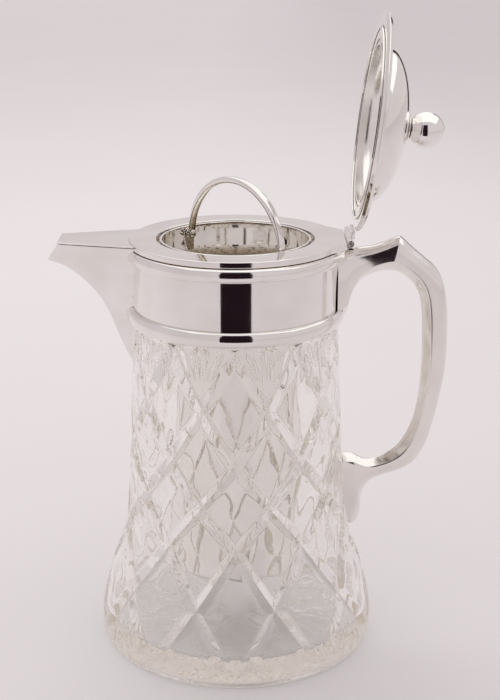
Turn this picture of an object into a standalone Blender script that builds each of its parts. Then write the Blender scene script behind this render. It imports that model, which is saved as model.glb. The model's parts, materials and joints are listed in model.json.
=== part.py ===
"""Cut-glass lemonade jug with silver-plated mounts, a hinged domed lid and a lift-out ice tube.

Frame: metres, +Z up, origin on the jug's axis at the underside of the glass.
The handle is at +X, the pouring spout at -X. The lid is modelled closed and then swung open.
"""
import math

import bmesh
import bpy
from mathutils import Matrix, Vector

MM = 0.001
SEGMENTS = 40           # facets round every coaxial ring, so that their gaps stay even
GAP = 0.3 * MM          # clearance kept between neighbouring pieces

# ---------------------------------------------------------------- driving dimensions (metres)
FOOT_RADIUS = 86.2 * MM
GLASS_SHOULDER_Z = 206.2 * MM
GLASS_SHOULDER_RADIUS = 62.3 * MM
GLASS_NECK_RADIUS = 59.6 * MM
GLASS_NECK_TOP = 233.2 * MM
GLASS_WALL = 6.5 * MM
GLASS_FLOOR = 12.0 * MM

COLLAR_RADIUS = 62.3 * MM
COLLAR_THICKNESS = 1.5 * MM
MOULDING_RADIUS = 66.0 * MM
LOWER_MOULDING_Z = (206.6 * MM, 215.8 * MM)
UPPER_MOULDING_Z = (244.7 * MM, 252.8 * MM)
FLANGE_RADIUS = 63.5 * MM
FLANGE_HOLE_RADIUS = 47.3 * MM
FLANGE_Z = (253.1 * MM, 256.8 * MM)
TONGUE_ROOT = (55.0 * MM, 31.0 * MM)      # X and half-width where the hinge tongue leaves the flange
TONGUE_END = (65.7 * MM, 20.0 * MM)       # X and half-width at its straight rear edge

SPOUT_TOP = 256.2 * MM
SPOUT_COVER_THICKNESS = 1.0 * MM
SPOUT_WALL = 1.4 * MM
POUR_HOLE_RADIUS = 3.4 * MM
POUR_HOLE_Z = 239.0 * MM
POUR_HOLE_STEP = math.radians(8.2)
POUR_HOLE_COUNT = 3

HINGE_X = 68.0 * MM
HINGE_Z = 257.0 * MM
HINGE_HALF_LENGTH = 20.0 * MM
LID_KNUCKLE_HALF_LENGTH = 9.7 * MM
KNUCKLE_RADIUS = 2.0 * MM
HINGE_BORE_RADIUS = 1.1 * MM
HINGE_PIN_RADIUS = 0.8 * MM
LID_OPEN_ANGLE = math.radians(97.0)

LID_OFFSET = 68.5 * MM                    # hinge axis to lid centre
LID_RADIUS = 63.75 * MM
LID_UNDERSIDE = 1.4 * MM                  # above the hinge axis when closed
LID_RIM_THICKNESS = 3.5 * MM
LID_SEAT_RADIUS = 55.5 * MM
DOME_RADIUS = 46.7 * MM
DOME_HEIGHT = 23.0 * MM
DOME_WALL = 1.2 * MM
FINIAL_RADIUS = 10.9 * MM
FINIAL_CENTRE = 34.0 * MM                 # above the lid's underside
STUD_RADIUS = 1.5 * MM

TUBE_MOUTH_Z = 256.4 * MM
TUBE_RIM_RADIUS = 45.5 * MM
TUBE_MOUTH_FOOT = (44.5 * MM, 245.5 * MM)  # outer radius and height at the foot of the mouth band
TUBE_TAPER = 0.03                          # outward lean of the mouth band
TUBE_SHOULDER = (41.6 * MM, 236.0 * MM)    # outer radius and height where the long barrel ends
TUBE_FOOT_RADIUS = 40.2 * MM
TUBE_FOOT_Z = 48.0 * MM
TUBE_WALL = 0.8 * MM
SEAT_OUTER_RADIUS = 50.0 * MM
SEAT_LEDGE_Z = (241.5 * MM, 244.0 * MM)

BAIL_PIVOT_Z = 252.0 * MM
BAIL_HALF_SPAN = 41.15 * MM
BAIL_RISE = 39.0 * MM
BAIL_DIRECTION = Vector((0.663, -0.749, 0.0)).normalized()
BAIL_EYE_RADIUS = 3.0 * MM
RIVET_RADIUS = 1.2 * MM

# Handle stations, from the collar to the foot pad: the outer and inner edge in the XZ plane and
# the half-width along Y, in millimetres.
HANDLE_STATIONS = (
    ((61.0, 250.2), (61.0, 208.0), 16.0),
    ((67.0, 250.4), (66.8, 210.0), 13.5),
    ((72.0, 250.6), (69.2, 218.5), 10.8),
    ((77.5, 251.1), (72.4, 226.3), 9.2),
    ((83.5, 252.1), (77.4, 231.6), 8.4),
    ((90.0, 254.3), (83.4, 235.0), 8.2),
    ((95.3, 256.7), (89.0, 236.3), 8.3),
    ((98.4, 257.8), (92.6, 236.5), 8.5),
    ((101.0, 255.7), (95.6, 236.3), 8.3),
    ((106.5, 250.6), (99.6, 234.9), 8.0),
    ((113.5, 244.6), (104.0, 231.9), 7.8),
    ((120.2, 238.5), (108.3, 227.0), 7.7),
    ((125.3, 229.5), (111.6, 219.8), 7.7),
    ((128.4, 215.0), (113.2, 209.0), 7.7),
    ((129.3, 195.4), (113.9, 194.0), 7.7),
    ((129.0, 177.0), (114.0, 177.0), 7.6),
    ((126.6, 159.5), (113.1, 160.5), 7.4),
    ((123.0, 141.5), (110.4, 143.5), 7.1),
    ((118.5, 125.2), (106.0, 131.5), 6.9),
    ((111.5, 113.3), (100.2, 122.8), 6.8),
    ((101.5, 107.2), (93.5, 117.8), 6.9),
    ((92.0, 104.2), (86.5, 114.8), 7.1),
    ((85.6, 101.2), (81.2, 114.0), 7.5),
    ((80.9, 96.2), (76.8, 115.8), 8.0),
    ((78.7, 89.0), (73.2, 117.8), 8.4),
    ((78.4, 79.0), (69.0, 118.2), 8.2),
    ((74.6, 70.6), (62.5, 117.0), 7.2),
    ((66.0, 68.5), (58.0, 115.0), 6.6),
)
# Cross-section of the handle: position from the inner (-1) to the outer (+1) edge, and the share
# of the half-width there. The inner face is two broad chamfers, the outer one a soft ridge.
HANDLE_SECTION = (
    (-1.0, 0.14),
    (-0.28, 0.96),
    (0.10, 1.0),
    (0.62, 0.88),
    (0.90, 0.52),
    (1.0, 0.10),
)

# Spout stations, from the lip to the tail: keel point, top edge or collar joint, half-width there.
SPOUT_STATIONS = (
    ((-113.0, 243.0), (-105.5, 254.9), 12.2),
    ((-107.6, 241.1), (-96.5, 254.9), 14.4),
    ((-101.7, 238.6), (-87.0, 254.9), 16.8),
    ((-93.4, 232.4), (-76.0, 254.9), 19.6),
    ((-86.4, 225.4), (-66.0, 254.9), 22.1),
    ((-80.8, 218.2), (-57.0, 254.9), 24.2),
    ((-75.9, 208.3), (-57.0, 236.0), 18.4),
    ((-72.2, 198.6), (-58.0, 218.0), 12.4),
    ((-68.3, 189.0), (-59.5, 202.0), 7.2),
    ((-65.0, 182.3), (-60.5, 190.0), 3.2),
    ((-62.0, 177.5), (-60.0, 181.0), 1.2),
)


# ---------------------------------------------------------------- helpers
def clear_scene():
    for item in list(bpy.data.objects):
        bpy.data.objects.remove(item, do_unlink=True)


def plain_material(name, colour, metallic, roughness, alpha=1.0):
    material = bpy.data.materials.new(name)
    material.use_nodes = True
    shader = material.node_tree.nodes["Principled BSDF"]
    shader.inputs["Base Color"].default_value = (*colour, 1.0)
    shader.inputs["Metallic"].default_value = metallic
    shader.inputs["Roughness"].default_value = roughness
    shader.inputs["Alpha"].default_value = alpha
    material.diffuse_color = (*colour, alpha)
    return material


def silver(name):
    return plain_material(name, (0.86, 0.84, 0.82), 1.0, 0.08)


def finish_mesh(bm, name, material, smooth_angle=35.0):
    """Turn a closed bmesh into an object with outward normals and smooth round faces."""
    bmesh.ops.recalc_face_normals(bm, faces=bm.faces)
    mesh = bpy.data.meshes.new(name)
    bm.to_mesh(mesh)
    bm.free()
    mesh.shade_smooth()
    mesh.set_sharp_from_angle(angle=math.radians(smooth_angle))
    obj = bpy.data.objects.new(name, mesh)
    bpy.context.scene.collection.objects.link(obj)
    if material:
        mesh.materials.append(material)
    return obj


def mark_cutter(obj):
    obj.hide_render = True
    obj.display_type = "WIRE"
    return obj


def add_boolean(obj, other, operation):
    modifier = obj.modifiers.new(operation.lower() + "_" + other.name, "BOOLEAN")
    modifier.operation = operation
    modifier.solver = "EXACT"
    modifier.object = other
    return modifier


def turned(name, profile, material=None, segments=SEGMENTS, smooth_angle=35.0):
    """Revolve a closed (radius, height) outline about Z. Radius 0 makes a point on the axis."""
    bm = bmesh.new()
    rings = []
    for radius, height in profile:
        if radius == 0.0:
            rings.append([bm.verts.new((0.0, 0.0, height))])
            continue
        ring = []
        for step in range(segments):
            angle = 2.0 * math.pi * step / segments
            ring.append(bm.verts.new((radius * math.cos(angle), radius * math.sin(angle), height)))
        rings.append(ring)
    for index, ring in enumerate(rings):
        following = rings[(index + 1) % len(rings)]
        if len(ring) == 1 and len(following) == 1:
            continue
        for step in range(segments):
            after = (step + 1) % segments
            if len(ring) == 1:
                bm.faces.new((ring[0], following[after], following[step]))
            elif len(following) == 1:
                bm.faces.new((ring[step], ring[after], following[0]))
            else:
                bm.faces.new((ring[step], ring[after], following[after], following[step]))
    return finish_mesh(bm, name, material, smooth_angle)


def lofted(name, loops, material=None, smooth_angle=35.0):
    """Skin a row of equal closed loops and cap both ends."""
    bm = bmesh.new()
    rows = []
    for loop in loops:
        rows.append([bm.verts.new(point) for point in loop])
    count = len(rows[0])
    for row, following in zip(rows, rows[1:]):
        for step in range(count):
            after = (step + 1) % count
            bm.faces.new((row[step], row[after], following[after], following[step]))
    bm.faces.new(rows[0])
    bm.faces.new(rows[-1])
    return finish_mesh(bm, name, material, smooth_angle)


def prism(name, outline, low, high, material=None):
    """Extrude a flat outline of (x, y) points from one height to another."""
    loops = [[(x, y, height) for x, y in outline] for height in (low, high)]
    return lofted(name, loops, material)


def rod(name, start, end, radius, material=None, segments=16):
    """A round bar between two points."""
    start = Vector(start)
    direction = Vector(end) - start
    turn = direction.to_track_quat("Z", "Y").to_matrix().to_4x4()
    bm = bmesh.new()
    bmesh.ops.create_cone(
        bm,
        cap_ends=True,
        segments=segments,
        radius1=radius,
        radius2=radius,
        depth=direction.length,
        matrix=Matrix.Translation(start + direction / 2.0) @ turn,
    )
    return finish_mesh(bm, name, material)


def half_round(inner, outer, low, high):
    """Outline of a half-round band that lies against a cylinder."""
    middle = (low + high) / 2.0
    half = (high - low) / 2.0
    swell = outer - inner
    points = [(inner, low)]
    for degrees in (-90, -50, 0, 50, 90):
        angle = math.radians(degrees)
        radius = inner + swell * (0.35 + 0.65 * math.cos(angle))
        points.append((radius, middle + half * math.sin(angle)))
    points.append((inner, high))
    return points


def tube_outer_radius(height):
    """Outer radius of the ice tube at a height between its shoulder and its lip."""
    band_radius, band_z = TUBE_MOUTH_FOOT
    if height >= band_z:
        return band_radius + (height - band_z) * TUBE_TAPER
    shoulder_radius, shoulder_z = TUBE_SHOULDER
    share = (height - shoulder_z) / (band_z - shoulder_z)
    return shoulder_radius + share * (band_radius - shoulder_radius)


# ---------------------------------------------------------------- glass
def glass_outline():
    """Outer outline of the bell-shaped body, foot to shoulder."""
    return [
        (82.5 * MM, 0.0),
        (85.6 * MM, 2.5 * MM),
        (FOOT_RADIUS, 8.0 * MM),
        (86.1 * MM, 14.0 * MM),
        (84.2 * MM, 29.0 * MM),
        (80.0 * MM, 44.0 * MM),
        (74.3 * MM, 61.0 * MM),
        (69.7 * MM, 79.0 * MM),
        (67.5 * MM, 101.0 * MM),
        (65.9 * MM, 132.0 * MM),
        (GLASS_SHOULDER_RADIUS, GLASS_SHOULDER_Z),
    ]


def build_glass():
    outer = glass_outline()
    neck_inner = GLASS_NECK_RADIUS - GLASS_WALL
    profile = [(0.0, 0.0)] + outer
    profile += [
        (GLASS_NECK_RADIUS, GLASS_SHOULDER_Z + 0.6 * MM),
        (GLASS_NECK_RADIUS, GLASS_NECK_TOP - 1.0 * MM),
        (GLASS_NECK_RADIUS - 1.2 * MM, GLASS_NECK_TOP),
        (neck_inner + 1.0 * MM, GLASS_NECK_TOP),
        (neck_inner, GLASS_NECK_TOP - 1.0 * MM),
        (neck_inner + 1.6 * MM, GLASS_SHOULDER_Z - 16.0 * MM),
    ]
    for radius, height in reversed(outer[4:10]):
        profile.append((radius - GLASS_WALL, height))
    profile += [(75.0 * MM, 18.0 * MM), (69.0 * MM, GLASS_FLOOR + 1.0 * MM), (0.0, GLASS_FLOOR)]
    glass = plain_material("glass", (0.93, 0.95, 0.95), 0.0, 0.02, alpha=0.35)
    turned("glass_body", profile, glass)

    cement = plain_material("plaster_cement", (0.78, 0.75, 0.70), 0.0, 0.9)
    inner = GLASS_NECK_RADIUS + GAP
    outer_radius = COLLAR_RADIUS - COLLAR_THICKNESS - GAP
    ring = [(inner, 209.0 * MM), (outer_radius, 209.0 * MM), (outer_radius, 231.0 * MM), (inner, 231.0 * MM)]
    turned("neck_cement", ring, cement)


# ---------------------------------------------------------------- collar and flange
def envelope_cutter():
    """The mounted body swelled by the clearance: it shapes the roots of spout and handle."""
    outline = [(0.0, 20.0 * MM)]
    for radius, height in glass_outline()[4:]:
        outline.append((radius + GAP, height))
    inner, outer = COLLAR_RADIUS + GAP, MOULDING_RADIUS + GAP
    lower = half_round(inner, outer, LOWER_MOULDING_Z[0] - GAP, LOWER_MOULDING_Z[1] + GAP)
    upper = half_round(inner, outer, UPPER_MOULDING_Z[0] - GAP, UPPER_MOULDING_Z[1] + GAP)
    outline += lower[1:]
    outline += upper[:-1]
    outline += [
        (FLANGE_RADIUS + GAP, FLANGE_Z[0] + GAP),
        (FLANGE_RADIUS + GAP, FLANGE_Z[1] + GAP),
        (0.0, FLANGE_Z[1] + GAP),
    ]
    return mark_cutter(turned("envelope_cutter", outline))


def build_collar():
    inner = COLLAR_RADIUS - COLLAR_THICKNESS
    low = LOWER_MOULDING_Z[0] + 0.4 * MM
    high = FLANGE_Z[0] - GAP
    band = turned("collar_band", [(inner, low), (COLLAR_RADIUS, low), (COLLAR_RADIUS, high), (inner, high)],
                  silver("silver_collar"))
    for number in range(POUR_HOLE_COUNT):
        angle = math.pi + POUR_HOLE_STEP * (number - (POUR_HOLE_COUNT - 1) / 2.0)
        outward = Vector((math.cos(angle), math.sin(angle), 0.0))
        centre = outward * COLLAR_RADIUS + Vector((0.0, 0.0, POUR_HOLE_Z))
        reach = outward * 4.0 * MM
        name = "pour_hole_cutter_%d" % (number + 1)
        hole = mark_cutter(rod(name, centre - reach, centre + reach, POUR_HOLE_RADIUS, segments=12))
        add_boolean(band, hole, "DIFFERENCE")

    start = COLLAR_RADIUS + GAP
    turned("lower_moulding", half_round(start, MOULDING_RADIUS, *LOWER_MOULDING_Z), silver("silver_lower"))
    turned("upper_moulding", half_round(start, MOULDING_RADIUS, *UPPER_MOULDING_Z), silver("silver_upper"))


def build_flange():
    low, high = FLANGE_Z
    edge = 0.5 * MM
    ring = [
        (FLANGE_HOLE_RADIUS, low),
        (FLANGE_RADIUS, low),
        (FLANGE_RADIUS, high - edge),
        (FLANGE_RADIUS - edge, high),
        (FLANGE_HOLE_RADIUS + edge, high),
        (FLANGE_HOLE_RADIUS, high - edge),
    ]
    flange = turned("top_flange", ring, silver("silver_flange"))
    root_x, root_half = TONGUE_ROOT
    end_x, end_half = TONGUE_END
    outline = [(root_x, -root_half), (end_x, -end_half), (end_x, end_half), (root_x, root_half)]
    tongue = mark_cutter(prism("hinge_tongue_guide", outline, low, high))
    add_boolean(flange, tongue, "UNION")

    ledge_low, ledge_high = SEAT_LEDGE_Z
    leg_inner = FLANGE_HOLE_RADIUS + GAP
    seat = [
        (tube_outer_radius(ledge_low) + GAP, ledge_low),
        (SEAT_OUTER_RADIUS, ledge_low),
        (SEAT_OUTER_RADIUS, low - GAP),
        (leg_inner, low - GAP),
        (leg_inner, ledge_high),
        (tube_outer_radius(ledge_high) + GAP, ledge_high),
    ]
    turned("ice_tube_seat", seat, silver("silver_seat"))


# ---------------------------------------------------------------- spout
def spout_loop(keel, top, half_width, inset=0.0, overshoot=0.0):
    """A V section in the plane of a keel point and the two top corners."""
    keel = Vector((keel[0], 0.0, keel[1])) * MM
    top = Vector((top[0], 0.0, top[1])) * MM
    rise = (top - keel).normalized()
    bottom = keel + rise * inset * 1.5
    ceiling = top + rise * overshoot
    span = (top - keel).length
    loop = []
    shares = (0.0, 0.25, 0.55, 0.8, 1.0)
    for side in (-1.0, 1.0):
        row = []
        for share in shares:
            point = bottom.lerp(ceiling, share)
            along = (point - keel).length / span
            width = half_width * MM * along ** 0.92 - inset
            row.append(point + Vector((0.0, side * max(width, 0.35 * MM), 0.0)))
        loop += row if side < 0 else list(reversed(row))
    return loop


def build_spout(envelope):
    outer = [spout_loop(keel, top, width) for keel, top, width in SPOUT_STATIONS]
    shell = lofted("spout_shell", outer, silver("silver_spout"))

    channel = []
    for keel, top, width in SPOUT_STATIONS[:7]:
        channel.append(spout_loop(keel, top, width, inset=SPOUT_WALL, overshoot=4.0 * MM))
    mouth = [Vector(point) + Vector((-4.0 * MM, 0.0, 1.4 * MM)) for point in channel[0]]
    cutter = mark_cutter(lofted("spout_channel_cutter", [mouth] + channel))
    add_boolean(shell, cutter, "DIFFERENCE")
    add_boolean(shell, envelope, "DIFFERENCE")

    tip, root = SPOUT_STATIONS[0], SPOUT_STATIONS[5]
    outline = [
        (tip[1][0] * MM, -tip[2] * MM),
        (root[1][0] * MM, -root[2] * MM),
        (root[1][0] * MM, root[2] * MM),
        (tip[1][0] * MM, tip[2] * MM),
    ]
    underside = SPOUT_TOP - SPOUT_COVER_THICKNESS
    cover = prism("spout_cover", outline, underside, SPOUT_TOP, silver("silver_cover"))
    add_boolean(cover, envelope, "DIFFERENCE")


# ---------------------------------------------------------------- handle
def build_handle(envelope):
    loops = []
    for outer, inner, half_width in HANDLE_STATIONS:
        outer = Vector((outer[0], 0.0, outer[1])) * MM
        inner = Vector((inner[0], 0.0, inner[1])) * MM
        loop = []
        for side in (-1.0, 1.0):
            row = []
            for along, share in HANDLE_SECTION:
                point = inner.lerp(outer, (along + 1.0) / 2.0)
                row.append(point + Vector((0.0, side * share * half_width * MM, 0.0)))
            loop += row if side < 0 else list(reversed(row))
        loops.append(loop)
    handle = lofted("handle", loops, silver("silver_handle"), smooth_angle=28.0)
    add_boolean(handle, envelope, "DIFFERENCE")


# ---------------------------------------------------------------- hinge
def barrel(name, start_y, end_y, material=None):
    """A hinge knuckle about the Y axis through the origin, bored for the pin."""
    ring = [
        (HINGE_BORE_RADIUS, start_y),
        (KNUCKLE_RADIUS, start_y),
        (KNUCKLE_RADIUS, end_y),
        (HINGE_BORE_RADIUS, end_y),
    ]
    knuckle = turned(name, ring, material, segments=20)
    knuckle.data.transform(Matrix.Rotation(math.radians(-90.0), 4, "X"))
    return knuckle


def build_fixed_hinge():
    axis = Vector((HINGE_X, 0.0, HINGE_Z))
    near = LID_KNUCKLE_HALF_LENGTH + GAP
    for name, low, high in (("front", -HINGE_HALF_LENGTH, -near), ("rear", near, HINGE_HALF_LENGTH)):
        knuckle = barrel("hinge_knuckle_" + name, low, high, silver("silver_knuckle_" + name))
        knuckle.location = axis
    overhang = Vector((0.0, HINGE_HALF_LENGTH + 0.6 * MM, 0.0))
    rod("hinge_pin", axis - overhang, axis + overhang, HINGE_PIN_RADIUS, silver("silver_pin"), 12)
    front_x = TONGUE_END[0] + GAP
    back_x = HINGE_X + 1.8 * MM
    outline = [
        (front_x, -HINGE_HALF_LENGTH),
        (back_x, -HINGE_HALF_LENGTH),
        (back_x, HINGE_HALF_LENGTH),
        (front_x, HINGE_HALF_LENGTH),
    ]
    low = UPPER_MOULDING_Z[1] + 0.3 * MM
    prism("hinge_bracket", outline, low, HINGE_Z - KNUCKLE_RADIUS - GAP, silver("silver_bracket"))


# ---------------------------------------------------------------- lid
def lid_piece(obj, pivot):
    """Shift a piece from the lid's own axis to the hinge and parent it to the lid's pivot."""
    obj.data.transform(Matrix.Translation((-LID_OFFSET, 0.0, 0.0)))
    obj.parent = pivot
    return obj


def build_lid():
    pivot = bpy.data.objects.new("lid_pivot", None)
    bpy.context.scene.collection.objects.link(pivot)
    pivot.location = (HINGE_X, 0.0, HINGE_Z)
    pivot.rotation_euler = (0.0, LID_OPEN_ANGLE, 0.0)

    low = LID_UNDERSIDE
    high = low + LID_RIM_THICKNESS
    rim = [
        (DOME_RADIUS + GAP, low),
        (LID_RADIUS - 2.5 * MM, low),
        (LID_RADIUS - 0.2 * MM, low + 1.4 * MM),
        (LID_RADIUS, low + 1.7 * MM),
        (LID_RADIUS - 0.2 * MM, low + 2.1 * MM),
        (LID_RADIUS - 1.8 * MM, high),
        (DOME_RADIUS + GAP, high),
    ]
    lid_piece(turned("lid_rim", rim, silver("silver_lid_rim")), pivot)

    half = 1.2 * MM
    seat_top = low - GAP
    seat = [
        (LID_SEAT_RADIUS - half, seat_top),
        (LID_SEAT_RADIUS - half + 0.4 * MM, seat_top - 1.0 * MM),
        (LID_SEAT_RADIUS + half - 0.4 * MM, seat_top - 1.0 * MM),
        (LID_SEAT_RADIUS + half, seat_top),
    ]
    lid_piece(turned("lid_seat_ring", seat, silver("silver_lid_seat")), pivot)

    hole = STUD_RADIUS + GAP
    crown = low + DOME_HEIGHT
    steps = (0, 18, 36, 54, 72)
    outer = [(DOME_RADIUS, low)]
    for degrees in steps:
        angle = math.radians(degrees)
        outer.append((DOME_RADIUS * math.cos(angle), high + (crown - high) * math.sin(angle)))
    outer.append((hole, crown))
    inner = [(hole, crown - DOME_WALL)]
    for degrees in reversed(steps):
        angle = math.radians(degrees)
        radius = (DOME_RADIUS - DOME_WALL) * math.cos(angle)
        inner.append((radius, high + (crown - DOME_WALL - high) * math.sin(angle)))
    inner.append((DOME_RADIUS - DOME_WALL, low))
    lid_piece(turned("lid_dome", outer + inner, silver("silver_dome")), pivot)

    ball_centre = low + FINIAL_CENTRE
    ball_foot = ball_centre - FINIAL_RADIUS
    neck_low = crown + GAP
    flat = 4.8 * MM
    ball_flat = ball_centre - math.sqrt(FINIAL_RADIUS ** 2 - flat ** 2)
    cup_floor = ball_flat - GAP
    neck = [
        (hole, neck_low),
        (9.2 * MM, neck_low),
        (9.0 * MM, neck_low + 0.9 * MM),
        (8.2 * MM, neck_low + 2.1 * MM),
        (7.6 * MM, neck_low + 2.1 * MM),
        (6.4 * MM, neck_low + 1.1 * MM),
        (5.0 * MM, cup_floor),
        (hole, cup_floor),
    ]
    lid_piece(turned("finial_neck", neck, silver("silver_neck"), segments=24), pivot)

    bore_top = ball_foot + 6.0 * MM
    ball = [(0.0, bore_top), (hole, bore_top), (hole, ball_flat), (flat, ball_flat)]
    first = math.degrees(math.asin((ball_flat - ball_centre) / FINIAL_RADIUS))
    rows = 7
    for row in range(1, rows):
        angle = math.radians(first + (90.0 - first) * row / rows)
        ball.append((FINIAL_RADIUS * math.cos(angle), ball_centre + FINIAL_RADIUS * math.sin(angle)))
    ball.append((0.0, ball_centre + FINIAL_RADIUS))
    lid_piece(turned("finial_ball", ball, silver("silver_ball"), segments=24), pivot)

    stud_low = crown - 5.2 * MM
    stud = [(0.0, stud_low), (STUD_RADIUS, stud_low), (STUD_RADIUS, bore_top - GAP), (0.0, bore_top - GAP)]
    lid_piece(turned("finial_stud", stud, silver("silver_stud"), segments=24), pivot)
    nut_high = crown - DOME_WALL - GAP - 0.2 * MM
    nut_low = nut_high - 2.4 * MM
    nut = [(hole, nut_low), (4.0 * MM, nut_low), (4.0 * MM, nut_high), (hole, nut_high)]
    nut_piece = turned("finial_nut", nut, silver("silver_nut"), segments=24, smooth_angle=20.0)
    lid_piece(nut_piece, pivot)

    half_leaf = LID_KNUCKLE_HALF_LENGTH
    knuckle = barrel("lid_knuckle", -half_leaf, half_leaf, silver("silver_lid_knuckle"))
    knuckle.parent = pivot
    leaf_outline = [
        (-9.0 * MM, -half_leaf),
        (-1.3 * MM, -half_leaf),
        (-1.3 * MM, half_leaf),
        (-9.0 * MM, half_leaf),
    ]
    leaf = mark_cutter(prism("lid_leaf_guide", leaf_outline, 0.3 * MM, KNUCKLE_RADIUS + 0.4 * MM))
    leaf.parent = pivot
    disc_radius = LID_RADIUS + GAP
    disc_outline = [(0.0, -10.0 * MM), (disc_radius, -10.0 * MM), (disc_radius, 10.0 * MM), (0.0, 10.0 * MM)]
    disc = mark_cutter(turned("lid_leaf_trim_cutter", disc_outline))
    lid_piece(disc, pivot)
    add_boolean(knuckle, leaf, "UNION")
    add_boolean(knuckle, disc, "DIFFERENCE")


# ---------------------------------------------------------------- ice tube and bail
def build_ice_tube():
    wall = TUBE_WALL
    lip_z = TUBE_MOUTH_Z - 1.5 * MM
    lip_radius = tube_outer_radius(lip_z)
    band_radius, band_z = TUBE_MOUTH_FOOT
    shoulder_radius, shoulder_z = TUBE_SHOULDER
    foot_z = TUBE_FOOT_Z
    outer = [
        (lip_radius - wall + 0.1 * MM, TUBE_MOUTH_Z),
        (TUBE_RIM_RADIUS, TUBE_MOUTH_Z),
        (TUBE_RIM_RADIUS, TUBE_MOUTH_Z - 1.0 * MM),
        (lip_radius, lip_z),
        (band_radius, band_z),
        (shoulder_radius, shoulder_z),
        (TUBE_FOOT_RADIUS, foot_z + 4.0 * MM),
        (TUBE_FOOT_RADIUS - 1.2 * MM, foot_z + 1.2 * MM),
        (TUBE_FOOT_RADIUS - 4.0 * MM, foot_z),
        (0.0, foot_z),
    ]
    inner = [
        (0.0, foot_z + wall),
        (TUBE_FOOT_RADIUS - 4.3 * MM, foot_z + wall),
        (TUBE_FOOT_RADIUS - 1.9 * MM, foot_z + 1.9 * MM),
        (TUBE_FOOT_RADIUS - wall, foot_z + 4.2 * MM),
        (shoulder_radius - wall, shoulder_z),
        (band_radius - wall, band_z),
        (lip_radius - wall, lip_z),
    ]
    tube = turned("ice_tube", list(reversed(outer + inner)), silver("silver_tube"))

    pivot = Vector((0.0, 0.0, BAIL_PIVOT_Z))
    wall_inner = tube_outer_radius(BAIL_PIVOT_Z) - wall
    tilt = math.atan(TUBE_TAPER)
    for number, side in enumerate((1.0, -1.0), start=1):
        outward = BAIL_DIRECTION * side
        across = Vector((-outward.y, outward.x, 0.0))
        frame = Matrix((across, Vector((0.0, 0.0, 1.0)), outward)).transposed().to_4x4()

        strip_outline = []
        for degrees in range(0, 181, 30):
            angle = math.radians(degrees)
            strip_outline.append((3.1 * MM * math.cos(angle), 3.1 * MM * math.sin(angle)))
        strip_outline += [(-2.4 * MM, -6.5 * MM), (2.4 * MM, -6.5 * MM)]
        finish = silver("silver_lug_%d" % number)
        lug = prism("bail_lug_%d" % number, strip_outline, -0.35 * MM, 0.35 * MM, finish)
        lean = Matrix.Rotation(tilt, 4, "X")
        seat = pivot + outward * (wall_inner - GAP - 0.5 * MM)
        lug.data.transform(Matrix.Translation(seat) @ frame @ lean)

        hole_name = "rivet_hole_cutter_%d" % number
        hole_start = pivot + outward * (BAIL_HALF_SPAN + 0.9 * MM)
        hole_end = pivot + outward * (wall_inner + 3.0 * MM)
        hole = mark_cutter(rod(hole_name, hole_start, hole_end, RIVET_RADIUS + GAP, segments=12))
        add_boolean(lug, hole, "DIFFERENCE")
        add_boolean(tube, hole, "DIFFERENCE")

        head_inner = BAIL_HALF_SPAN - 2.1 * MM
        rivet = [
            (0.0, head_inner),
            (1.6 * MM, head_inner + 0.2 * MM),
            (2.3 * MM, head_inner + 0.9 * MM),
            (2.3 * MM, head_inner + 1.2 * MM),
            (RIVET_RADIUS, head_inner + 1.2 * MM),
            (RIVET_RADIUS, wall_inner + 1.3 * MM),
            (0.0, wall_inner + 1.3 * MM),
        ]
        piece = turned("bail_rivet_%d" % number, rivet, silver("silver_rivet_%d" % number), segments=12)
        piece.data.transform(Matrix.Translation(pivot) @ frame)


def build_bail():
    """An arched strap that thins into a round eye at each end, standing over its pivot line."""
    across = Vector((-BAIL_DIRECTION.y, BAIL_DIRECTION.x, 0.0))
    up = Vector((0.0, 0.0, 1.0))
    arch_steps = 24
    corners = (45, 90, 135, 180, 225, 270, 315, 360)
    loops = []
    for step in range(arch_steps + 1):
        angle = math.pi * step / arch_steps
        lift = math.sin(angle)
        centre = BAIL_DIRECTION * (BAIL_HALF_SPAN * math.cos(angle)) + up * (BAIL_RISE * lift)
        radial = BAIL_DIRECTION * (BAIL_RISE * math.cos(angle)) + up * (BAIL_HALF_SPAN * lift)
        radial.normalize()
        thick = (0.55 + 1.25 * min(1.0, lift * 1.6)) * MM
        wide = 2.1 * MM
        loop = []
        for corner in corners:
            turn = math.radians(corner)
            squareness = 1.0 / max(abs(math.cos(turn)), abs(math.sin(turn))) ** 0.5
            point = centre + radial * (thick * math.cos(turn) * squareness)
            point += across * (wide * math.sin(turn) * squareness)
            loop.append(point)
        loops.append(loop)
    bail = lofted("bail", loops, silver("silver_bail"), smooth_angle=50.0)
    bail.location = (0.0, 0.0, BAIL_PIVOT_Z)
    for number, side in enumerate((1.0, -1.0), start=1):
        outward = BAIL_DIRECTION * side
        inner_face = outward * (BAIL_HALF_SPAN - 0.55 * MM)
        outer_face = outward * (BAIL_HALF_SPAN + 0.55 * MM)
        eye_name = "bail_eye_guide_%d" % number
        eye = mark_cutter(rod(eye_name, inner_face, outer_face, BAIL_EYE_RADIUS, segments=20))
        eye.parent = bail
        reach = outward * 4.0 * MM
        name = "bail_eye_hole_cutter_%d" % number
        hole = mark_cutter(rod(name, inner_face - reach, outer_face + reach, RIVET_RADIUS + GAP, segments=12))
        hole.parent = bail
        add_boolean(bail, eye, "UNION")
        add_boolean(bail, hole, "DIFFERENCE")


def main():
    clear_scene()
    build_glass()
    envelope = envelope_cutter()
    build_collar()
    build_flange()
    build_spout(envelope)
    build_handle(envelope)
    build_fixed_hinge()
    build_lid()
    build_ice_tube()
    build_bail()


main()
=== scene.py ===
"""Looks of the cut-glass jug: fine meshes, polished silver, cut crystal, studio floor and light."""
import json
import math

import bmesh
import bpy
import numpy as np
from mathutils import Matrix, Vector


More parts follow.
